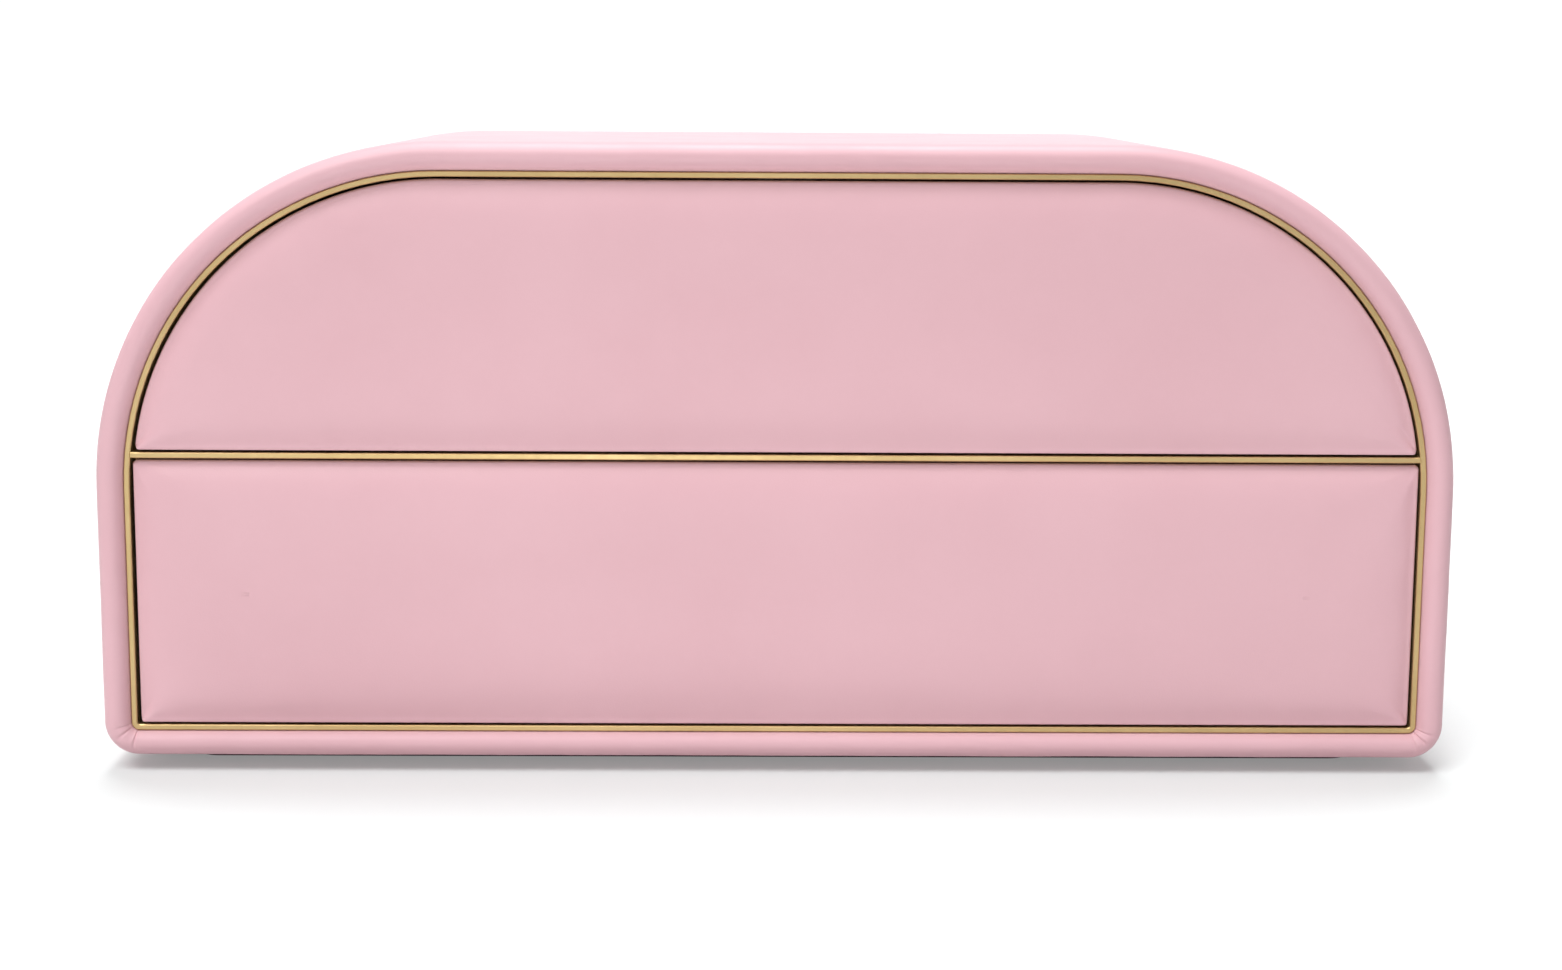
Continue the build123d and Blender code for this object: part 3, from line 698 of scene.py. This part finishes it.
for level in ("upper", "lower"):
    soften(f"{level}_dividers", f"{level}_divider_boards", f"{level}_drawer", "suede_lining")
soften("ring_roll_base", "ring_roll_bed", "upper_drawer", "suede_lining", 0.5)


def make_rolls():
    lo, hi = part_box("ring_rolls")
    x0, x1 = lo.x * 1000 + 0.3, hi.x * 1000 - 0.3
    zc, r0 = (lo.z + hi.z) * 500, (hi.z - lo.z) * 500
    y0, y1 = lo.y * 1000 + r0, hi.y * 1000 - r0
    verts, faces = [], []
    sides = 28
    for k in range(10):
        yc = y0 + (y1 - y0) * k / 9
        stations = [(0.0, 0.30), (0.4, 0.62), (1.2, 0.84), (2.6, 0.96), (4.5, 1.0)]
        xs = [(x0 + d, f) for d, f in stations] + [(x0 + 4.5 + (x1 - x0 - 9.0) * q / 30, 1.0) for q in range(1, 30)] + [(x1 - d, f) for d, f in reversed(stations)]
        base = len(verts)
        for x, f in xs:
            for s in range(sides):
                a = 2 * math.pi * s / sides
                r = r0 * f * (1 + 0.018 * wobble(x, yc + 9 * math.cos(a), 9 * math.sin(a), 12.0, k))
                # lengthwise seam underneath and small gathers at the ends
                r -= 0.25 * math.exp(-(((a - 1.5 * math.pi) / 0.16) ** 2))
                if f < 0.99:
                    r *= 1 + 0.05 * math.cos(9 * a + k)
                y = yc + min(r, r0) * math.cos(a)
                z = zc + min(r, r0) * math.sin(a)
                verts.append((x, y, z))
        n = len(xs)
        for i in range(n - 1):
            for s in range(sides):
                p, q = base + i * sides + s, base + i * sides + (s + 1) % sides
                faces.append((p, q, q + sides, p + sides))
        faces.append(tuple(base + s for s in range(sides))[::-1])
        faces.append(tuple(base + (n - 1) * sides + s for s in range(sides)))
    return mesh_object("ring_cushion_rolls", verts, faces, MAT["suede_cushion"])


place(make_rolls(), "upper_drawer", ("ring_rolls",))


def make_pillow(k, yc):
    lo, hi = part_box("bracelet_pillows")
    xh, z0, z1 = hi.x * 1000, lo.z * 1000, hi.z * 1000
    zc, hy, hz = (z0 + z1) / 2, 18.0, (z1 - z0) / 2
    sides, verts, faces = 40, [], []
    stations = [-1.0, -0.985, -0.95, -0.9, -0.82, -0.72, -0.6, -0.45, -0.3, -0.15, 0.0, 0.15, 0.3, 0.45, 0.6, 0.72, 0.82, 0.9, 0.95, 0.985, 1.0]
    for u in stations:
        f = (1 - abs(u) ** 9) ** 0.33 if abs(u) < 1 else 0.16
        f = max(f, 0.16)
        for s in range(sides):
            a = 2 * math.pi * s / sides
            ca, sa = math.cos(a), math.sin(a)
            n = 2.6
            rr = (abs(ca) ** n + abs(sa) ** n) ** (-1 / n)
            verts.append((u * (xh - 2.5), yc + (hy - 1.7) * f * rr * ca, zc + (hz - 1.7) * f * rr * sa))
    for i in range(len(stations) - 1):
        for s in range(sides):
            p, q = i * sides + s, i * sides + (s + 1) % sides
            faces.append((p, q, q + sides, p + sides))
    faces.append(tuple(range(sides))[::-1])
    faces.append(tuple(range((len(stations) - 1) * sides, len(stations) * sides)))
    name = f"bracelet_pillow_{k + 1}"
    _, out, polys = puffed(verts, faces, 4.0, 4.0, 1.6, lambda p: 1.0 if p[2] < z0 + 4 else 0.0)
    out[:, 2] = np.maximum(out[:, 2], z0 + 0.1)
    out[:, 1] = np.clip(out[:, 1], yc - hy + 0.1, yc + hy - 0.1)
    out[:, 0] = np.clip(out[:, 0], -xh + 0.2, xh - 0.2)
    ob = mesh_object(name, [tuple(p) for p in out], polys, MAT["suede_cushion"])
    mod = ob.modifiers.new("s", "SUBSURF")
    mod.levels = mod.render_levels = 1
    dg = bpy.context.evaluated_depsgraph_get()
    me = bpy.data.meshes.new_from_object(ob.evaluated_get(dg))
    ob.modifiers.clear()
    ob.data = me
    return ob


for k, yc in enumerate((-41.5, -1.0, 39.5)):
    p = make_pillow(k, yc)
    place(p, "lower_drawer", ("bracelet_pillows",))

# ------------------------------------------------------------------ floor, light, camera
fm = bpy.data.materials.new("floor_white")
fm.use_nodes = True
ft = fm.node_tree
fb = ft.nodes["Principled BSDF"]
fb.inputs["Base Color"].default_value = (0.535, 0.560, 0.558, 1)
fb.inputs["Emission Color"].default_value = (1, 1, 1, 1)
fb.inputs["Emission Strength"].default_value = 0.25
fb.inputs["Roughness"].default_value = 0.9
fb.inputs["Specular IOR Level"].default_value = 0.0
# the studio sweep throws back less light than it shows, as under a flagged softbox
fd = ft.nodes.new("ShaderNodeBsdfDiffuse")
fd.inputs["Color"].default_value = (0.66, 0.66, 0.66, 1)
fl = ft.nodes.new("ShaderNodeLightPath")
fx = ft.nodes.new("ShaderNodeMixShader")
ft.links.new(fl.outputs["Is Camera Ray"], fx.inputs["Fac"])
ft.links.new(fd.outputs[0], fx.inputs[1])
ft.links.new(fb.outputs[0], fx.inputs[2])
ft.links.new(fx.outputs[0], ft.nodes["Material Output"].inputs["Surface"])
floor = mesh_object("floor", [(-9000, -6000, 0), (9000, -6000, 0), (9000, 14000, 0), (-9000, 14000, 0)], [(0, 1, 2, 3)], fm, smooth=False)

world = bpy.data.worlds.new("studio")
bpy.context.scene.world = world
world.use_nodes = True
wn = world.node_tree
bg = wn.nodes["Background"]
bg.inputs["Color"].default_value = (1.0, 1.0, 1.0, 1)
bg.inputs["Strength"].default_value = 0.24
bg2 = wn.nodes.new("ShaderNodeBackground")
bg2.inputs["Color"].default_value = (1.0, 1.0, 1.0, 1)
bg2.inputs["Strength"].default_value = 1.05
lp = wn.nodes.new("ShaderNodeLightPath")
mixw = wn.nodes.new("ShaderNodeMixShader")
wn.links.new(lp.outputs["Is Camera Ray"], mixw.inputs["Fac"])
wn.links.new(bg.outputs[0], mixw.inputs[1])
wn.links.new(bg2.outputs[0], mixw.inputs[2])
wn.links.new(mixw.outputs[0], wn.nodes["World Output"].inputs["Surface"])


def area(name, at, target, w, h, watts, colour=(1, 1, 1)):
    d = bpy.data.lights.new(name, "AREA")
    d.shape = "RECTANGLE"
    d.size, d.size_y, d.energy, d.color = w, h, watts, colour
    o = bpy.data.objects.new(name, d)
    bpy.context.scene.collection.objects.link(o)
    o.location = at
    o.rotation_euler = (Vector(target) - Vector(at)).to_track_quat("-Z", "Y").to_euler()
    return o


top = bpy.data.lights.new("top_light", "SUN")
top.energy, top.angle = 2.42, math.radians(34)
top_ob = bpy.data.objects.new("top_light", top)
bpy.context.scene.collection.objects.link(top_ob)
elev, side = math.radians(60), math.radians(34)
toward = Vector((-math.sin(side) * math.cos(elev), -math.cos(side) * math.cos(elev), math.sin(elev)))
top_ob.rotation_euler = toward.to_track_quat("Z", "Y").to_euler()
rim = bpy.data.lights.new("rear_light", "SUN")
rim.energy, rim.angle = 2.3, math.radians(22)
rim_ob = bpy.data.objects.new("rear_light", rim)
bpy.context.scene.collection.objects.link(rim_ob)
toward = Vector((0.0, math.cos(math.radians(75)), math.sin(math.radians(75))))
rim_ob.rotation_euler = toward.to_track_quat("Z", "Y").to_euler()
area("front_fill", (-0.08, -0.52, 0.05), (-0.02, 0, 0.07), 0.26, 0.08, 0.32).visible_camera = False
area("back_light", (0.0, 1.5, 0.55), (0, 0, 0.2), 2.0, 0.9, 8.0).visible_camera = False

sc = bpy.context.scene
sc.view_settings.view_transform = "Standard"
sc.view_settings.look = "None"
cam = bpy.data.cameras.new("camera")
cam.lens = 59.11
cam.sensor_width = 36.0
cam.clip_start, cam.clip_end = 0.05, 60.0
cam_ob = bpy.data.objects.new("camera", cam)
sc.collection.objects.link(cam_ob)
pitch, roll = math.radians(9.10), 0.00605
f = Vector((0.0123 * math.cos(pitch), math.cos(pitch), -math.sin(pitch))).normalized()
right = f.cross(Vector((0, 0, 1))).normalized()
up = right.cross(f)
r2 = right * math.cos(roll) + up * math.sin(roll)
u2 = up * math.cos(roll) - right * math.sin(roll)
cam_ob.matrix_world = Matrix(((r2.x, u2.x, -f.x, -0.0090), (r2.y, u2.y, -f.y, -0.9170), (r2.z, u2.z, -f.z, 0.2319), (0, 0, 0, 1)))
sc.camera = cam_ob
